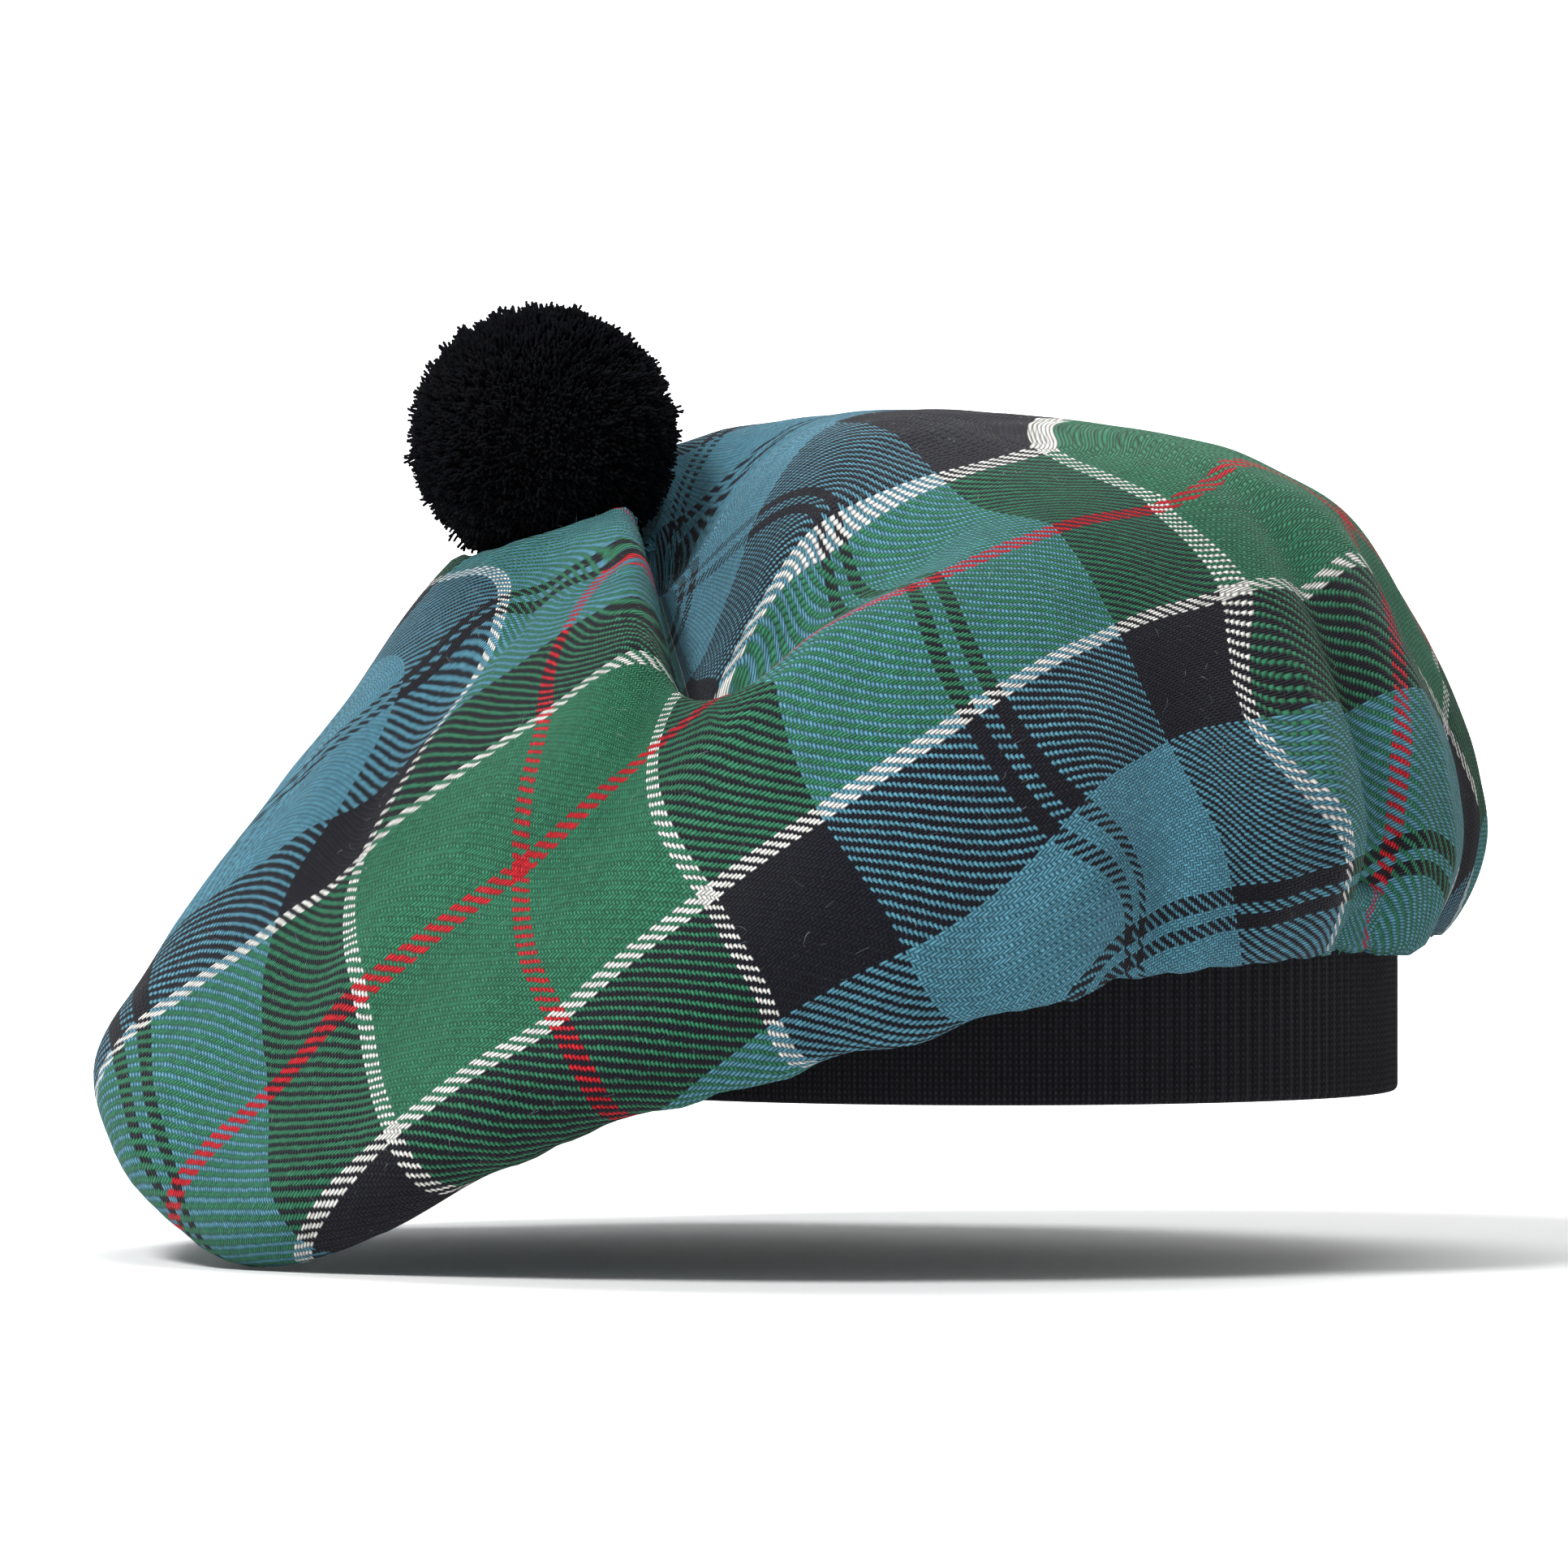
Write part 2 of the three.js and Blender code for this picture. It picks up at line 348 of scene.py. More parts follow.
def clear_of_band(places):
    """The places, with those beside the headband pushed out to clear it."""
    margin = CLOTH / 2 + HEM_GAP
    spread = np.hypot(
        places[..., 0] / (BAND_HALF_WIDTH + margin), places[..., 1] / (BAND_HALF_DEPTH + margin)
    )
    inside = (places[..., 2] < BAND_HEIGHT + margin) & (spread < 1)
    scale = np.where(inside, 1 / np.maximum(spread, 1e-6), 1.0)[..., None]
    return np.concatenate([places[..., :2] * scale, places[..., 2:]], -1)


def crown_surface():
    """Places of the middle surface [row, column], and the length of each section down to them."""
    bearings = np.arange(CROWN_COLUMNS) * 360 / CROWN_COLUMNS
    curve = spline(crown_sections(bearings), SECTION_SAMPLES)
    steps = np.linalg.norm(np.diff(curve, axis=0), axis=-1)
    lengths = np.vstack([np.zeros(CROWN_COLUMNS), np.cumsum(steps, axis=0)])
    places = np.empty((CROWN_ROWS + 1, CROWN_COLUMNS, 3))
    shares = np.linspace(0, 1, CROWN_ROWS + 1)
    for k in range(CROWN_COLUMNS):
        wanted = shares * lengths[-1, k]
        for axis in range(3):
            places[:, k, axis] = np.interp(wanted, lengths[:, k], curve[:, k, axis])
    above = smoothstep(FOLDS_UNTIL - shares, 0, FOLDS_FADE)[:, None]
    places[..., 2] -= fold_depth(places[..., 0], places[..., 1]) * above
    places = clear_of_band(clear_of_toorie(places))
    return places, shares[:, None] * lengths[-1]


def surface_normals(places):
    down = np.gradient(places, axis=0)
    around = np.roll(places, -1, axis=1) - np.roll(places, 1, axis=1)
    normals = np.cross(down, around)
    normals[0] = (0, 0, 1)
    return normals / np.maximum(np.linalg.norm(normals, axis=-1, keepdims=True), 1e-9)


# ---- Laying the tartan ---------------------------------------------------------------------------


def thin_plate(distance_squared):
    return 0.5 * distance_squared * np.log(np.maximum(distance_squared, 1e-9))


def fit_smooth(places, values, slack):
    """A smooth function of the plane through values at places, as a thin bent plate would lie."""
    count = len(places)
    gaps = ((places[:, None] - places[None]) ** 2).sum(-1)
    flat = np.column_stack([np.ones(count), places])
    system = np.zeros((count + 3, count + 3))
    system[:count, :count] = thin_plate(gaps) + slack * np.eye(count)
    system[:count, count:] = flat
    system[count:, :count] = flat.T
    solved = np.linalg.solve(system, np.vstack([values, np.zeros((3, values.shape[1]))]))

    def value(at):
        shape = at.shape[:-1]
        at = at.reshape(-1, 2)
        bend = thin_plate(((at[:, None] - places[None]) ** 2).sum(-1))
        found = bend @ solved[:count] + np.column_stack([np.ones(len(at)), at]) @ solved[count:]
        return found.reshape(*shape, values.shape[1])

    return value


def tucked_threads(places, shares):
    """Threads of cloth that the valley hides, counted at each place.

    They are all counted just to the valley's left, none to its right, and fewer and fewer on the
    way from left to right round its start, with distance from there, and towards the hem.
    """
    start, end = FOLDS[0][:2]
    x, y = places[..., 0], places[..., 1]
    along, left = beside_line(x, y, start, end)
    valley = math.atan2(end[1] - start[1], end[0] - start[0])
    turned = np.mod(np.arctan2(y - start[1], x - start[0]) - valley, TURN)
    part = 1 - turned / TURN
    in_valley = (np.abs(left) < TUCK_HALF_WIDTH) & (along > 0)
    part = np.where(in_valley, 0.5 + left / (2 * TUCK_HALF_WIDTH), part)
    away = np.hypot(x - start[0], y - start[1]) / math.dist(start, end)
    amount = TUCK_THREADS * np.clip(1 - away / TUCK_ENDS, 0, 1)
    return amount * part * (1 - smoothstep(shares, *TUCK_FADES))


def lay_tartan(places, lengths):
    """The thread numbers (s, t) at each place of the crown's surface."""
    rows, columns = places.shape[:2]
    shares = np.broadcast_to(np.linspace(0, 1, rows)[:, None], (rows, columns))
    angle = np.arange(columns) * TURN / columns
    plane = lengths[..., None] * np.stack([np.cos(angle), np.sin(angle)], -1)
    quads = [
        (r * columns + c, (r + 1) * columns + c, (r + 1) * columns + d, r * columns + d)
        for r in range(1, rows - 1)
        for c, d in zip(range(columns), [*range(1, columns), 0])
    ]
    tree = BVHTree.FromPolygons([Vector(p) for p in places.reshape(-1, 3)], quads)
    tucked = tucked_threads(places, shares)
    spots, threads = [], []

    def pin(row, column, s, t):
        spots.append(plane[row, column])
        threads.append((s - tucked[row, column], t))

    for x, z, s, t in TARTAN_FRONT:
        hit, _, face, _ = tree.ray_cast(Vector((x, -1000, z)), Vector((0, 1, 0)))
        if hit is None:
            hit, _, face, _ = tree.find_nearest(Vector((x, 0, z)))
        corners = np.array([places.reshape(-1, 3)[i] for i in quads[face]])
        nearest = quads[face][int(np.argmin(np.linalg.norm(corners - np.array(hit), axis=1)))]
        pin(*divmod(nearest, columns), s, t)
    for bearing, heading, hidden in TARTAN_BACK:
        column = round(bearing / 360 * columns)
        for share in BACK_SHARES:
            row = round(share * (rows - 1))
            run = lengths[row, column] / THREAD + hidden
            turn = math.radians(heading)
            s = CLOTH_MIDDLE[0] + run * math.cos(turn)
            t = CLOTH_MIDDLE[1] + run * math.sin(turn)
            pin(row, column, s, t)
    fitted = fit_smooth(np.array(spots), np.array(threads, dtype=float), FIT_SLACK)
    cloth = fitted(plane)
    cloth[..., 0] += tucked
    return cloth


# ---- Meshes --------------------------------------------------------------------------------------


def add_mesh(name, vertices, faces, uv=None):
    """A smooth mesh object. uv has one pair for each vertex."""
    mesh = bpy.data.meshes.new(name)
    mesh.from_pydata([tuple(v) for v in vertices], [], faces)
    if uv is not None:
        layer = mesh.uv_layers.new(name="Threads")
        corner = np.empty(len(mesh.loops), dtype=np.int32)
        mesh.loops.foreach_get("vertex_index", corner)
        layer.data.foreach_set("uv", np.asarray(uv, dtype=np.float32)[corner].ravel())
    mesh.polygons.foreach_set("use_smooth", [True] * len(mesh.polygons))
    mesh.update()
    piece = bpy.data.objects.new(name, mesh)
    bpy.context.scene.collection.objects.link(piece)
    return piece


def ring_faces(rings, columns, closed=False):
    """Quads between rings of that many columns, the last joined to the first if closed."""
    faces = []
    for i in range(rings if closed else rings - 1):
        j = (i + 1) % rings
        for k in range(columns):
            n = (k + 1) % columns
            faces.append((i * columns + k, j * columns + k, j * columns + n, i * columns + n))
    return faces


# ---- Crown ---------------------------------------------------------------------------------------
GATHERS = 64
GATHER_RISE = 1.7  # mm
GATHER_RISES = (0.35, 1.0)  # shares of that rise
GATHER_WIDTHS = (1.1, 3.0)  # degrees
GATHER_SHIFT = 0.35  # share of the room for one gather
GATHER_FROM = 0.60  # this and the next four are shares of a section
GATHER_LATE = 0.12
GATHER_FULL = 0.80
GATHER_FADES = 0.86
GATHER_UNTIL = 0.93
RUMPLE = 0.9  # mm
RUMPLE_SIZE = 26  # mm
FINE_RUMPLE = 0.4  # share of a rumple's height
FINE_TIMES = 2.3  # finer than a rumple
RUMPLE_FADES = (0.8, 0.95)  # shares of a section


def gathers(shares, columns):
    """How far the gathers at the hem stand out, in mm, at each row and column."""
    chance = random.Random(7)
    bearings = np.arange(columns) * 360 / columns
    height = np.zeros((len(shares), columns))
    for k in range(GATHERS):
        middle = (k + chance.uniform(-GATHER_SHIFT, GATHER_SHIFT)) * 360 / GATHERS
        width = chance.uniform(*GATHER_WIDTHS)
        rise = GATHER_RISE * chance.uniform(*GATHER_RISES)
        begins = GATHER_FROM + chance.uniform(0.0, GATHER_LATE)
        ridge = np.exp(-((degrees_from(middle, bearings) / width) ** 2))
        strength = smoothstep(shares, begins, GATHER_FULL)
        strength *= 1 - smoothstep(shares, GATHER_FADES, GATHER_UNTIL)
        height += rise * strength[:, None] * ridge[None]
    return height


def rumples(places):
    """A slight unevenness of the cloth, in mm."""
    found = [
        noise.noise(Vector(p)) + FINE_RUMPLE * noise.noise(Vector(p) * FINE_TIMES)
        for p in places.reshape(-1, 3) / RUMPLE_SIZE
    ]
    return RUMPLE * np.array(found).reshape(places.shape[:2])


def make_crown(cloth_material):
    """The crown: a cloth shell, its outer and inner faces joined at the lip on the headband."""
    places, lengths = crown_surface()
    threads = lay_tartan(places, lengths)
    normals = surface_normals(places)
    shares = np.linspace(0, 1, CROWN_ROWS + 1)
    rumpled = 1 - smoothstep(shares, *RUMPLE_FADES)
    rise = gathers(shares, CROWN_COLUMNS) + rumples(places) * rumpled[:, None]
    rise[0] = rise[0].mean()
    places = places + normals * rise[..., None]
    places = clear_of_toorie(places)
    normals = surface_normals(places)
    outer = places + normals * CLOTH / 2
    inner = places - normals * CLOTH / 2
    rows, columns = CROWN_ROWS, CROWN_COLUMNS
    vertices = np.concatenate([outer[1:].reshape(-1, 3), inner[:0:-1].reshape(-1, 3)])
    uv = np.concatenate([threads[1:].reshape(-1, 2), threads[:0:-1].reshape(-1, 2)])
    top = len(vertices)
    vertices = np.concatenate([vertices, [outer[0, 0], inner[0, 0]]]) * MM
    uv = np.concatenate([uv, [threads[0, 0], threads[0, 0]]])
    faces = ring_faces(2 * rows, columns)
    last = (2 * rows - 1) * columns
    for k in range(columns):
        n = (k + 1) % columns
        faces.append((top, k, n))
        faces.append((last + k, top + 1, last + n))
    crown = add_mesh("crown_cloth", vertices, faces, uv)
    crown.data.materials.append(cloth_material)
    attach(crown, "root")
    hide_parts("crown")
    return crown


# ---- Stray fibres, in millimetres ----------------------------------------------------------------
FIBRES = 5200
FIBRE_STEPS = 4
FIBRE_WIDTH = 0.055
FIBRE_TAPER = 0.35
FIBRE_LENGTHS = (1.0, 3.6)
FIBRE_LIFTS = (0.12, 0.5)
FIBRE_CURL = 0.7  # share of its length
FIBRE_ARCH = 1.1
FIBRE_SINK = 0.05


def make_fuzz(crown, wool):
    """Fine stray fibres that stand off the cloth."""
    chance = random.Random(5)
    polygons = crown.data.polygons
    outer_faces = (CROWN_ROWS - 1) * CROWN_COLUMNS
    vertices, faces = [], []
    for _ in range(FIBRES):
        face = polygons[chance.randrange(outer_faces)]
        root = np.array(face.center) / MM
        normal = np.array(face.normal)
        drift = np.array([chance.gauss(0, 1) for _ in range(3)])
        drift -= normal * drift.dot(normal)
        drift /= np.linalg.norm(drift)
        turned = np.cross(normal, drift)
        length = chance.uniform(*FIBRE_LENGTHS)
        lift = chance.uniform(*FIBRE_LIFTS)
        curl = chance.uniform(-FIBRE_CURL, FIBRE_CURL)
        start = len(vertices)
        for step in range(FIBRE_STEPS + 1):
            share = step / FIBRE_STEPS
            height = lift * math.sin(math.pi * min(share * FIBRE_ARCH, 1)) - FIBRE_SINK
            place = root + drift * length * share + turned * length * curl * share**2
            place = place + normal * height
            across = turned * FIBRE_WIDTH * (0.5 - FIBRE_TAPER * share)
            vertices += [place - across, place + across]
        for step in range(FIBRE_STEPS):
            a = start + 2 * step
            faces.append((a, a + 1, a + 3, a + 2))
    fuzz = add_mesh("crown_fuzz", np.array(vertices) * MM, faces)
    fuzz.data.materials.append(wool)
    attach(fuzz, "root")
    return fuzz


# ---- Headband ------------------------------------------------------------------------------------
RIBS = 180
WALES_IN_RIB = 3
STEPS_IN_WALE = 4
RIB_DEPTH = 0.5  # mm
RIB_FULLNESS = 0.7  # less than 1 rounds the ribs and narrows the furrows
WALE_DEPTH = 0.16
COURSE = 1.1  # mm from one row of stitches to the next
BAND_ROWS = 14
BAND_EDGE = 1.2
BAND_CORE = 0.2  # mm of knit left behind the deepest furrow, to the middle of the wall
OVAL_STEPS = 4000


def oval_angles(count):
    """Angles that divide the headband's oval into equal lengths."""
    fine = np.linspace(0, TURN, OVAL_STEPS + 1)
    x, y = BAND_HALF_WIDTH * np.cos(fine), BAND_HALF_DEPTH * np.sin(fine)
    length = np.append(0, np.cumsum(np.hypot(np.diff(x), np.diff(y))))
    return np.interp(np.arange(count) * length[-1] / count, length, fine)


def band_profile():
    """How far in and how high each ring of the headband is, up its outside and down its inside."""
    edge = BAND_EDGE
    rounds = [math.radians(a) for a in (0, 30, 60, 90)]
    lower = [(edge * (1 - math.cos(a)), edge * (1 - math.sin(a))) for a in reversed(rounds)]
    wall = [(0, edge + (BAND_HEIGHT - 2 * edge) * i / BAND_ROWS) for i in range(1, BAND_ROWS)]
    upper = [(edge * (1 - math.cos(a)), BAND_HEIGHT - edge * (1 - math.sin(a))) for a in rounds]
    inside = [(BAND_WALL - i, z) for i, z in upper[:0:-1]]
    inside += [(BAND_WALL, BAND_HEIGHT * share) for share in (0.9, 0.7, 0.5, 0.3, 0.1)]
    inside += [(BAND_WALL - i, z) for i, z in reversed(lower[1:])]
    return lower + wall + upper + inside


def make_headband(knit):
    """The headband: a closed oval tube with ribs, and wales in each rib."""
    columns = RIBS * WALES_IN_RIB * STEPS_IN_WALE
    angles = oval_angles(columns)
    rib = np.arange(columns) / (WALES_IN_RIB * STEPS_IN_WALE)
    wale = np.arange(columns) / STEPS_IN_WALE
    relief = RIB_DEPTH * (0.5 - 0.5 * np.cos(TURN * rib)) ** RIB_FULLNESS
    relief += WALE_DEPTH * (0.5 - 0.5 * np.cos(TURN * wale))
    middle = BAND_WALL / 2
    rings, uv = [], []
    for inset, z in band_profile():
        if inset < middle:
            depth = np.minimum(inset + relief, middle - BAND_CORE)
        else:
            depth = np.maximum(inset - relief, middle + BAND_CORE)
        x = (BAND_HALF_WIDTH - depth) * np.cos(angles)
        y = (BAND_HALF_DEPTH - depth) * np.sin(angles)
        rings.append(np.column_stack([x, y, np.full(columns, float(z))]))
        uv.append(np.column_stack([wale, np.full(columns, z / COURSE)]))
    faces = [tuple(reversed(f)) for f in ring_faces(len(rings), columns, closed=True)]
    band = add_mesh("headband_knit", np.concatenate(rings) * MM, faces, np.concatenate(uv))
    band.data.materials.append(knit)
    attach(band, "root")
    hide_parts("headband")
    return band


# ---- Toorie --------------------------------------------------------------------------------------
YARN_ENDS = 3300
PLIES = 3
YARN_WIDTH = 0.62  # mm, one ply
PLY_WIDTHS = (0.85, 1.2)  # shares of that width
PLY_SPREAD = 0.62
PLY_TWIST = 1.4  # radians from one step of a strand to the next
PLY_ENDS = (-0.02, 0.006)  # how much longer than its yarn a ply is
STRAND_STEPS = (0.72, 0.9, 1.0)  # shares of the way from the ball's middle to the strand's tip
YARN_SCATTER = 0.018
YARN_LEAN = 0.9  # mm
LONG_ENDS = 0.03  # share of the yarn ends that stand out
LONG_REACH = (0.0, 0.045)  # shares of the radius past the ball's
SHORT_REACH = (-0.05, 0.008)
CORE = 0.86  # share of the ball that its dark core fills
CORE_ROWS, CORE_COLUMNS = 20, 40
TIP = 0.35  # of a strand's width
GOLDEN = math.pi * (3 - math.sqrt(5))


def across_axis(axis, helper, other_helper, limit=0.8):
    """Two unit vectors square to the axis, from a helper that isn't close to its direction."""
    near = abs(axis[int(np.argmax(helper))])
    side = np.cross(axis, np.array(helper if near < limit else other_helper, dtype=float))
    side /= np.linalg.norm(side)
    return side, np.cross(axis, side)


def strand(path, widths, sides=3):
    """A thin tapered tube along path, closed by a point at its tip: vertices and faces."""
    axis = path[-1] - path[0]
    axis /= np.linalg.norm(axis)
    side, other = across_axis(axis, (1, 0, 0), (0, 1, 0))
    vertices, faces = [], []
    for place, width in zip(path, widths):
        for k in range(sides):
            a = TURN * k / sides
            vertices.append(place + (math.cos(a) * side + math.sin(a) * other) * width / 2)
    vertices.append(path[-1] + axis * widths[-1] * TIP)
    tip = len(vertices) - 1
    for i in range(len(path) - 1):
        for k in range(sides):
            n = (k + 1) % sides
            faces.append((i * sides + k, i * sides + n, (i + 1) * sides + n, (i + 1) * sides + k))
    start = (len(path) - 1) * sides
    faces += [(start + k, start + (k + 1) % sides, tip) for k in range(sides)]
    return vertices, faces


def core_ball(middle):
    """The ball under the yarn ends: vertices and faces."""
    vertices = []
    for i in range(1, CORE_ROWS):
        polar = math.pi * i / CORE_ROWS
        for k in range(CORE_COLUMNS):
            turn = TURN * k / CORE_COLUMNS
            reach = math.sin(polar) * TOORIE_RADIUS
            height = math.cos(polar) * TOORIE_HEIGHT
            out = np.array((reach * math.cos(turn), reach * math.sin(turn), height))
            vertices.append(middle + out * CORE)
    pole = np.array((0, 0, TOORIE_HEIGHT * CORE))
    vertices += [middle + pole, middle - pole]
    faces = ring_faces(CORE_ROWS - 1, CORE_COLUMNS)
    top, bottom = len(vertices) - 2, len(vertices) - 1
    low = (CORE_ROWS - 2) * CORE_COLUMNS
    for k in range(CORE_COLUMNS):
        n = (k + 1) % CORE_COLUMNS
        faces.append((top, k, n))
        faces.append((low + k, bottom, low + n))
    return vertices, faces


def make_toorie(yarn):
    """The toorie: cut yarn ends, of a few plies each, that stand out from a dark core."""
    chance = random.Random(11)
    middle = np.array(TOORIE, dtype=float)
    squash = TOORIE_HEIGHT / TOORIE_RADIUS
    vertices, faces = core_ball(middle)
    for index in range(YARN_ENDS):
        height = 1 - 2 * (index + 0.5) / YARN_ENDS
        ring = math.sqrt(1 - height * height)
        turn = index * GOLDEN
        out = np.array((ring * math.cos(turn), ring * math.sin(turn), height))
        out += np.array([chance.gauss(0, YARN_SCATTER) for _ in range(3)])
        out /= np.linalg.norm(out)
        past = LONG_REACH if chance.random() < LONG_ENDS else SHORT_REACH
        reach = TOORIE_RADIUS * (1 + chance.uniform(*past))
        lean = np.array([chance.gauss(0, YARN_LEAN) for _ in range(3)])
        phase = chance.uniform(0, TURN)
        side, other = across_axis(out, (0, 0, 1), (1, 0, 0))
        for ply in range(PLIES):
            path, widths = [], []
            tip_reach = reach * (1 + chance.uniform(*PLY_ENDS))
            for step, share in enumerate(STRAND_STEPS):
                around = phase + TURN * ply / PLIES + PLY_TWIST * step
                swing = YARN_WIDTH * PLY_SPREAD * (1 + 0.5 * step)
                place = out * (tip_reach * share) * (1, 1, squash)
                place = place + (side * math.cos(around) + other * math.sin(around)) * swing
                path.append(middle + place + lean * (share - STRAND_STEPS[0]) * 2)
                widths.append(YARN_WIDTH * chance.uniform(*PLY_WIDTHS))
            made, joined = strand(path, widths)
            base = len(vertices)
            vertices += made
            faces += [tuple(base + i for i in face) for face in joined]
    toorie = add_mesh("toorie_yarn", np.array(vertices) * MM, faces)
    toorie.data.materials.append(yarn)
    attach(toorie, "root")
    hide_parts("toorie")
    return toorie


# ---- Materials -----------------------------------------------------------------------------------
GREEN = (0.032, 0.200, 0.105)
BLUE = (0.100, 0.300, 0.405)
BLACK = (0.010, 0.010, 0.018)
RED = (0.640, 0.012, 0.024)
WHITE = (0.880, 0.870, 0.830)

# From the middle of a red line: the thread at which each stripe of the half sett starts.
SETT = [(0, RED), (3, GREEN), (47, WHITE), (51, BLACK), (87, BLUE), (127, BLACK), (131, BLUE)]

TWILL = 4.0  # threads in one repeat of the weave
ROW_FLOAT = 2.3  # how many of those a float of the thicker yarn passes over
S_DENSITY = 1.06  # threads woven for each one that the sett counts
T_DENSITY = 1.3
WANDER = 0.7  # threads that a line strays by

# Lighter and darker wool, and painted shade between threads: what each is multiplied by, then what
# is added.
FLOAT_TONE = (0.34, 0.62)
SPECKLE_TONE = (1.25, -0.50)
PATCH_TONE = (0.36, 0.84)
# painted shade: darker in the gaps between threads, lighter on their tops
PAINTED_GAP_SHADE = (1.12, 0.10)
STRAY_WOOL = (0.34, 0.38, 0.37, 1)
STRAY_FROM = 0.66  # the noise that shows a stray fibre
STRAY_SHARE = 0.22


class Nodes:
    """Builds a material's nodes, each from the values or sockets that it takes."""

    def __init__(self, name):
        self.material = bpy.data.materials.new(name)
        self.material.use_nodes = True
        self.tree = self.material.node_tree
        self.shader = self.tree.nodes["Principled BSDF"]

    def add(self, kind, inputs=(), **settings):
        node = self.tree.nodes.new(kind)
        for key, value in settings.items():
            setattr(node, key, value)
        for key, value in dict(inputs).items():
            self.put(node.inputs[key], value)
        return node

    def put(self, socket, value):
        if isinstance(value, bpy.types.NodeSocket):
            self.tree.links.new(value, socket)
        else:
            socket.default_value = value

    def math(self, operation, *values):
        return self.add("ShaderNodeMath", dict(enumerate(values)), operation=operation).outputs[0]

    def mix(self, share, low, high):
        """low where share is 0, high where it is 1, as numbers."""
        inputs = {0: share, 2: low, 3: high}
        return self.add("ShaderNodeMix", inputs, data_type="FLOAT").outputs[0]

    def mix_colour(self, share, low, high, blend="MIX"):
        inputs = {0: share, 6: low, 7: high}
        return self.add("ShaderNodeMix", inputs, data_type="RGBA", blend_type=blend).outputs[2]

    def noise(self, vector, scale, detail=2.0, roughness=0.5):
        inputs = {"Vector": vector, "Scale": scale, "Detail": detail, "Roughness": roughness}
        return self.add("ShaderNodeTexNoise", inputs).outputs["Fac"]

    def join(self, x, y, z=0.0):
        return self.add("ShaderNodeCombineXYZ", {0: x, 1: y, 2: z}).outputs[0]

    def ramp(self, value, stops, interpolation="LINEAR"):
        node = self.add("ShaderNodeValToRGB", {0: value})
        node.color_ramp.interpolation = interpolation
        elements = node.color_ramp.elements
        while len(elements) < len(stops):
            elements.new(1.0)
        for element, (position, colour) in zip(elements, stops):
            element.position = position
        for element, (position, colour) in zip(elements, stops):
            element.color = (*colour, 1)
        return node.outputs[0]

    def bump(self, height, strength, distance):
        inputs = {"Height": height, "Strength": strength, "Distance": distance}
        return self.add("ShaderNodeBump", inputs).outputs[0]

    def surface(self, levels):
        """Sets the shader's own sockets, each by its name."""
        for name, level in levels.items():
            self.shader.inputs[name].default_value = level


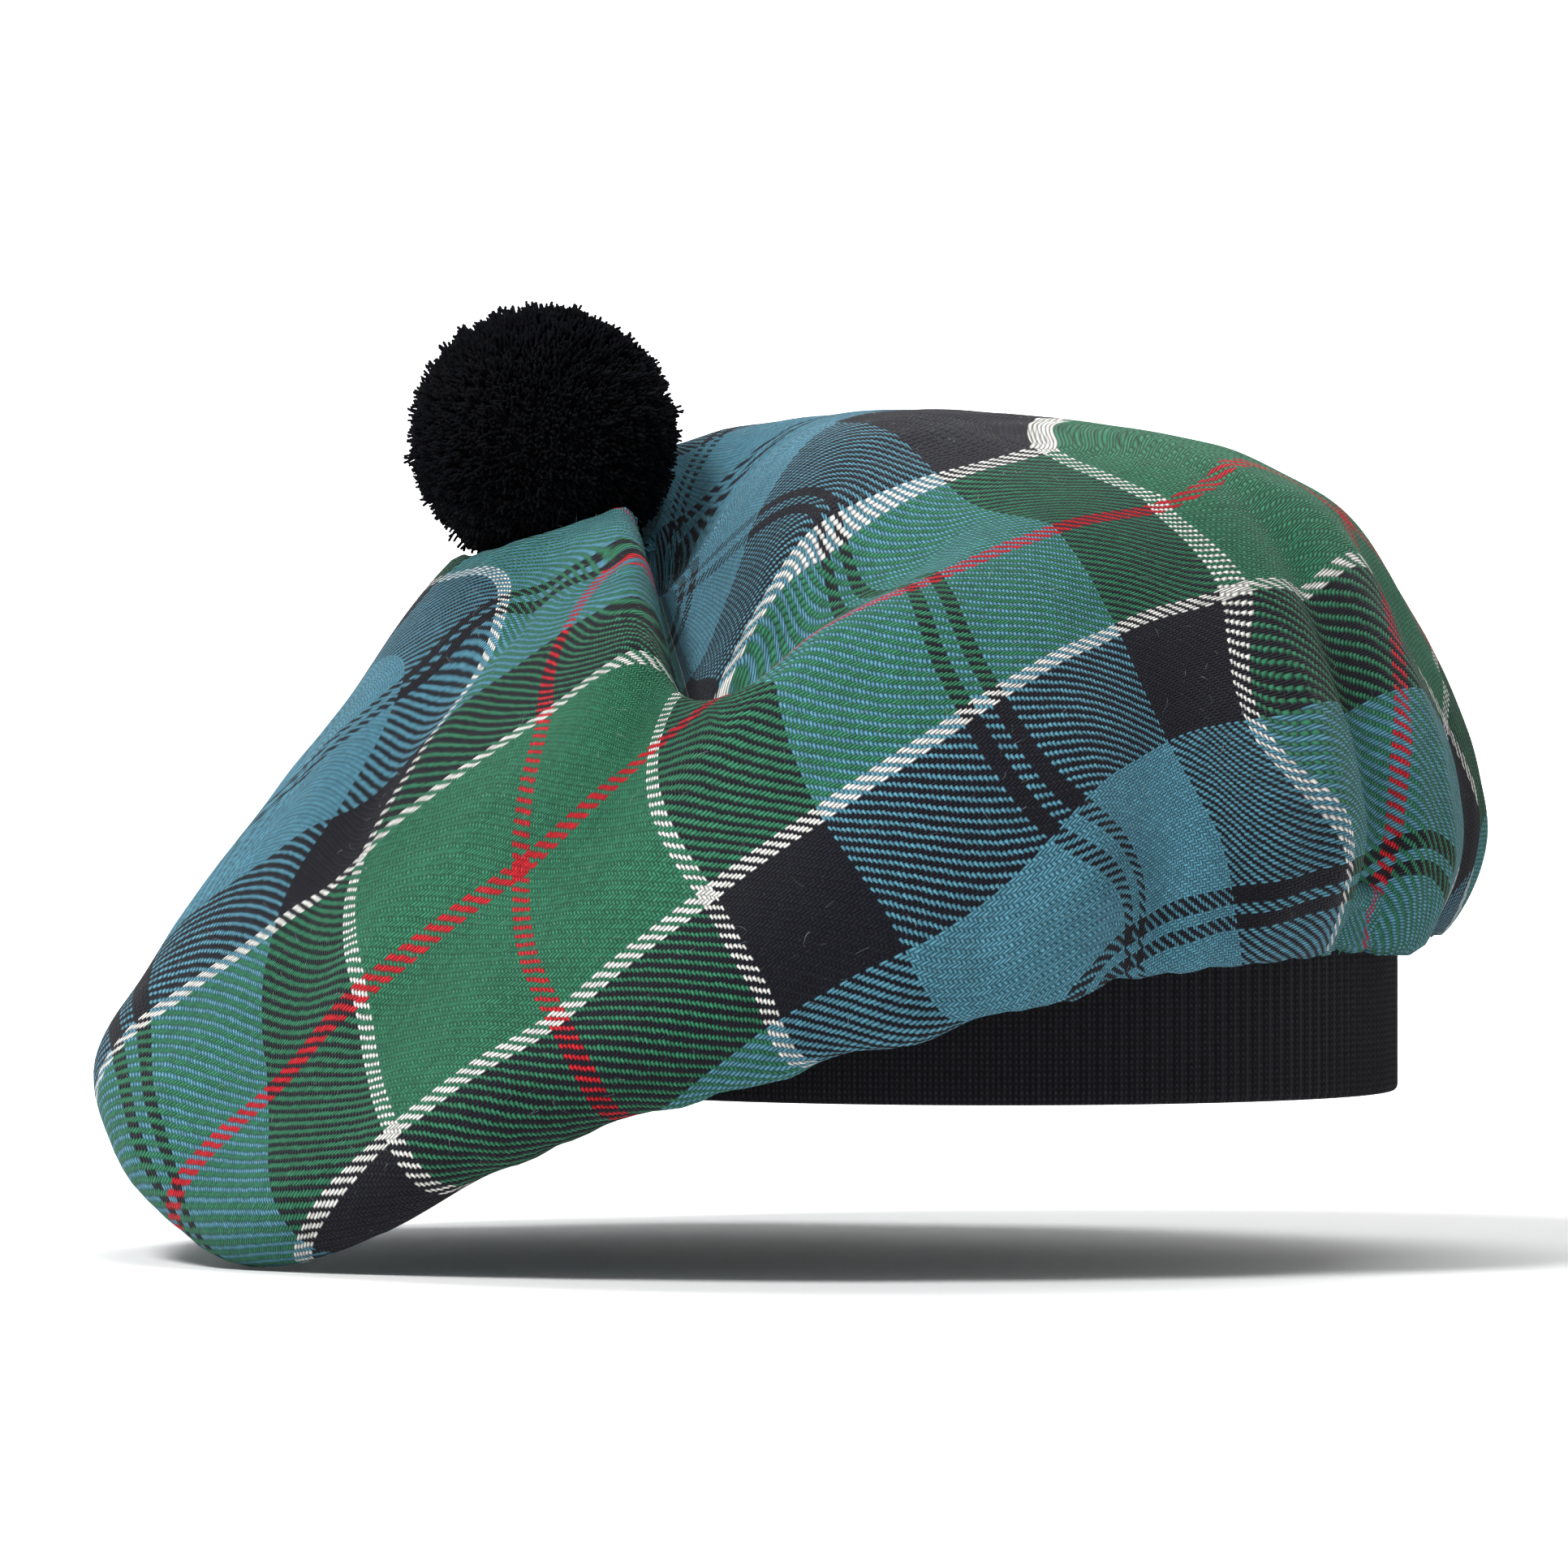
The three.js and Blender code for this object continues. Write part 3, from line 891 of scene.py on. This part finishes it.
def tartan_material():
    """A 2/2 twill of two sets of threads, each coloured by its place in the sett."""
    n = Nodes("tartan_twill")
    uv = n.add("ShaderNodeUVMap", uv_map="Threads").outputs[0]
    split = n.add("ShaderNodeSeparateXYZ", {0: uv})
    wander = n.math("MULTIPLY_ADD", n.noise(uv, 0.35, 1.0), WANDER, -WANDER / 2)
    s = n.math("MULTIPLY_ADD", split.outputs[0], S_DENSITY, wander)
    t = n.math("MULTIPLY_ADD", split.outputs[1], T_DENSITY, wander)
    column = n.math("FLOOR", s)
    row = n.math("FLOOR", t)

    def stripe(index, density):
        place = n.math("DIVIDE", n.math("ADD", index, 0.5), density)
        place = n.math("ADD", place, float(HALF_SETT))
        place = n.math("FLOORED_MODULO", place, 2.0 * HALF_SETT)
        place = n.math("ABSOLUTE", n.math("SUBTRACT", place, float(HALF_SETT)))
        place = n.math("DIVIDE", place, float(HALF_SETT))
        stops = [(start / HALF_SETT, colour) for start, colour in SETT]
        return n.ramp(place, stops, "CONSTANT")

    def rounded(value):
        return n.math("SINE", n.math("MULTIPLY", value, math.pi))

    across_row = rounded(n.math("FRACT", t))
    across_column = rounded(n.math("FRACT", s))
    diagonal_row = n.math("ADD", s, row)
    diagonal_column = n.math("ADD", t, column)
    run_row = n.math("FLOORED_MODULO", diagonal_row, TWILL)
    along_on_top = n.math("LESS_THAN", run_row, ROW_FLOAT)
    run_column = n.math("FLOORED_MODULO", diagonal_column, TWILL)
    float_row = rounded(n.math("MINIMUM", n.math("DIVIDE", run_row, ROW_FLOAT), 1.0))
    float_column = n.math("MAXIMUM", n.math("SUBTRACT", run_column, 2.0), 0.0)
    float_column = rounded(n.math("MULTIPLY", float_column, 0.5))
    height_row = n.math("MULTIPLY", across_row, n.math("MULTIPLY_ADD", float_row, 0.7, 0.3))
    height_column = n.math(
        "MULTIPLY", across_column, n.math("MULTIPLY_ADD", float_column, 0.75, 0.25)
    )
    height = n.mix(along_on_top, height_column, height_row)
    colour = n.mix_colour(along_on_top, stripe(column, S_DENSITY), stripe(row, T_DENSITY))

    # each float a little lighter or darker, the yarn itself mixed from light and dark wool, and
    # painted shade
    row_float = n.join(row, n.math("FLOOR", n.math("DIVIDE", diagonal_row, TWILL)), 3.0)
    column_float = n.join(n.math("FLOOR", n.math("DIVIDE", diagonal_column, TWILL)), column, 9.0)
    floats = {0: along_on_top, 4: column_float, 5: row_float}
    pick = n.add("ShaderNodeMix", floats, data_type="VECTOR")
    chance = n.add("ShaderNodeTexWhiteNoise", {0: pick.outputs[1]}, noise_dimensions="3D")
    speckle = n.noise(n.join(s, t), 1.9, 3.0, 0.7)
    patches = n.noise(uv, 0.035, 2.0)
    light = n.math("MULTIPLY_ADD", chance.outputs[0], *FLOAT_TONE)
    light = n.math("ADD", light, n.math("MULTIPLY_ADD", speckle, *SPECKLE_TONE))
    light = n.math("MULTIPLY", light, n.math("MULTIPLY_ADD", patches, *PATCH_TONE))
    # painted shade, darkest in the gaps between threads and at the ends of floats, lighter on their
    # tops
    painted_gap_shade = n.math("MULTIPLY_ADD", n.math("POWER", height, 0.8), *PAINTED_GAP_SHADE)
    light = n.math("MULTIPLY", light, painted_gap_shade)
    shade = n.add("ShaderNodeCombineColor", {0: light, 1: light, 2: light}).outputs[0]
    colour = n.mix_colour(1.0, colour, shade, "MULTIPLY")

    # stray pale fibres over the weave, longer than they are wide
    stretched = n.join(n.math("MULTIPLY", s, 0.35), n.math("MULTIPLY", t, 1.7))
    fibres = n.math("GREATER_THAN", n.noise(stretched, 1.3, 4.0, 0.75), STRAY_FROM)
    colour = n.mix_colour(n.math("MULTIPLY", fibres, STRAY_SHARE), colour, STRAY_WOOL)
    n.put(n.shader.inputs["Base Color"], colour)

    fuzz = n.noise(n.join(s, t), 3.1, 3.0, 0.6)
    relief = n.math("ADD", height, n.math("MULTIPLY", fuzz, 0.35))
    n.put(n.shader.inputs["Normal"], n.bump(relief, 0.85, 0.00034))
    n.surface(
        {
            "Roughness": 0.86,
            "Specular IOR Level": 0.16,
            "Sheen Weight": 0.05,
            "Sheen Roughness": 0.45,
        }
    )
    return n.material


def fibre_material():
    """Pale and mid-toned wool fibres."""
    n = Nodes("stray_wool")
    place = n.add("ShaderNodeTexCoord").outputs["Object"]
    pick = n.noise(place, 240.0, 1.0)
    dark, middle, pale = (0.05, 0.08, 0.09), (0.16, 0.22, 0.22), (0.42, 0.45, 0.44)
    colour = n.ramp(pick, [(0.35, dark), (0.5, middle), (0.65, pale)])
    n.put(n.shader.inputs["Base Color"], colour)
    n.surface({"Roughness": 0.8})
    return n.material


def knit_material():
    """Black rib knit: rows of stitches up each wale, with painted shade in the furrows and painted
    highlights on the stitches' tops, broken by noise into pale fibre lines.
    """
    n = Nodes("black_rib_knit")
    uv = n.add("ShaderNodeUVMap", uv_map="Threads").outputs[0]
    split = n.add("ShaderNodeSeparateXYZ", {0: uv})
    wale, course = split.outputs[0], split.outputs[1]
    side = n.math("ABSOLUTE", n.math("SUBTRACT", n.math("FRACT", wale), 0.5))
    slant = n.math("ADD", course, n.math("MULTIPLY", side, 1.2))
    stitch = n.math("SINE", n.math("MULTIPLY", slant, TURN))
    stitch = n.math("MULTIPLY_ADD", stitch, 0.5, 0.5)
    across = n.math("SINE", n.math("MULTIPLY", n.math("FRACT", wale), math.pi))
    height = n.math("MULTIPLY", across, n.math("MULTIPLY_ADD", stitch, 0.5, 0.5))
    speckle = n.noise(n.join(wale, n.math("MULTIPLY", course, 0.6)), 2.2, 4.0, 0.7)
    light = n.math("MULTIPLY", height, n.math("MULTIPLY_ADD", speckle, 1.5, 0.1))
    # painted shade: darkest in the furrows between wales and stitches; palest on the stitches'
    # tops, part painted highlight and part pale fibre
    furrow_shade, wool, fibre_and_highlight = (0.0022, 0.0022, 0.0032), (0.0075, 0.0075, 0.0105), (0.03, 0.03, 0.037)
    colour = n.ramp(light, [(0.0, furrow_shade), (0.5, wool), (1.0, fibre_and_highlight)])
    n.put(n.shader.inputs["Base Color"], colour)
    relief = n.math("ADD", height, n.math("MULTIPLY", speckle, 0.3))
    n.put(n.shader.inputs["Normal"], n.bump(relief, 0.8, 0.0003))
    n.surface({"Roughness": 0.9, "Specular IOR Level": 0.18, "Sheen Weight": 0.03})
    return n.material


def yarn_material():
    """Soft black wool."""
    n = Nodes("black_yarn")
    place = n.add("ShaderNodeTexCoord").outputs["Object"]
    patches = n.noise(place, 90.0, 3.0)
    fibres = n.noise(place, 1500.0, 3.0, 0.7)
    light = n.math("MULTIPLY", patches, n.math("MULTIPLY_ADD", fibres, 1.2, 0.3))
    colour = n.ramp(light, [(0.1, (0.0012, 0.0014, 0.0022)), (0.75, (0.0060, 0.0064, 0.0090))])
    n.put(n.shader.inputs["Base Color"], colour)
    n.put(n.shader.inputs["Normal"], n.bump(fibres, 0.5, 0.0002))
    n.surface({"Roughness": 1.0, "Specular IOR Level": 0.08, "Sheen Weight": 0.02})
    return n.material


# ---- Stage ---------------------------------------------------------------------------------------
FLOOR_GAP = 0.0005  # m, from the lowest point of the crown
WORLD_STRENGTH = 0.25


def make_stage(floor_height):
    """A pale floor that curves up into a backdrop."""
    near, bend, radius, rise, half_width = -3.0, 2.0, 1.5, 4.0, 6.0
    profile = [(near, 0.0), (bend, 0.0)]
    profile += [
        (bend + radius * math.sin(math.radians(a)), radius * (1 - math.cos(math.radians(a))))
        for a in range(6, 91, 6)
    ]
    profile.append((bend + radius, rise))
    vertices = [(x, y, floor_height + z) for y, z in profile for x in (-half_width, half_width)]
    faces = [(2 * i, 2 * i + 1, 2 * i + 3, 2 * i + 2) for i in range(len(profile) - 1)]
    floor = add_mesh("floor", vertices, faces)
    n = Nodes("pale_floor")
    n.surface({"Base Color": (0.93, 0.93, 0.93, 1), "Roughness": 0.9, "Specular IOR Level": 0.1})
    floor.data.materials.append(n.material)


def add_light(name, place, target, size, watts):
    """A soft rectangular light at a place, turned to its target."""
    data = bpy.data.lights.new(name, "AREA")
    data.shape = "RECTANGLE"
    data.size, data.size_y = size
    data.energy = watts
    lamp = bpy.data.objects.new(name, data)
    lamp.location = place
    lamp.rotation_euler = (Vector(target) - Vector(place)).to_track_quat("-Z", "Y").to_euler()
    bpy.context.scene.collection.objects.link(lamp)


def make_lights(target):
    add_light("key", (-0.75, -0.9, 1.35), target, (0.45, 0.45), 27)
    add_light("fill", (1.4, -1.5, 0.5), target, (1.2, 1.2), 2)
    add_light("top", (0.1, 0.5, 1.6), target, (1.2, 0.9), 16)
    add_light("backdrop", (0.0, 1.2, 1.6), (0.0, 3.5, 0.4), (3.0, 1.0), 130)
    world = bpy.data.worlds.new("studio")
    world.use_nodes = True
    background = world.node_tree.nodes["Background"]
    background.inputs["Color"].default_value = (1, 1, 1, 1)
    background.inputs["Strength"].default_value = WORLD_STRENGTH
    bpy.context.scene.world = world
    bpy.context.scene.view_settings.view_transform = "Standard"


def make_camera():
    """A level camera in front of the tam, looking along +Y."""
    across, distance, height = -0.0391, 1.9, 0.0578
    view_width = 0.2972  # what the frame takes in at the headband's middle
    data = bpy.data.cameras.new("camera")
    data.sensor_width = 36
    data.lens = data.sensor_width * distance / view_width
    camera = bpy.data.objects.new("camera", data)
    camera.location = (across, -distance, height)
    camera.rotation_euler = (math.radians(90), 0, 0)
    bpy.context.scene.collection.objects.link(camera)
    bpy.context.scene.camera = camera


make_camera()
make_headband(knit_material())
crown = make_crown(tartan_material())
make_fuzz(crown, fibre_material())
make_toorie(yarn_material())
low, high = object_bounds()
make_stage(low.z - FLOOR_GAP)
make_lights((low + high) / 2)
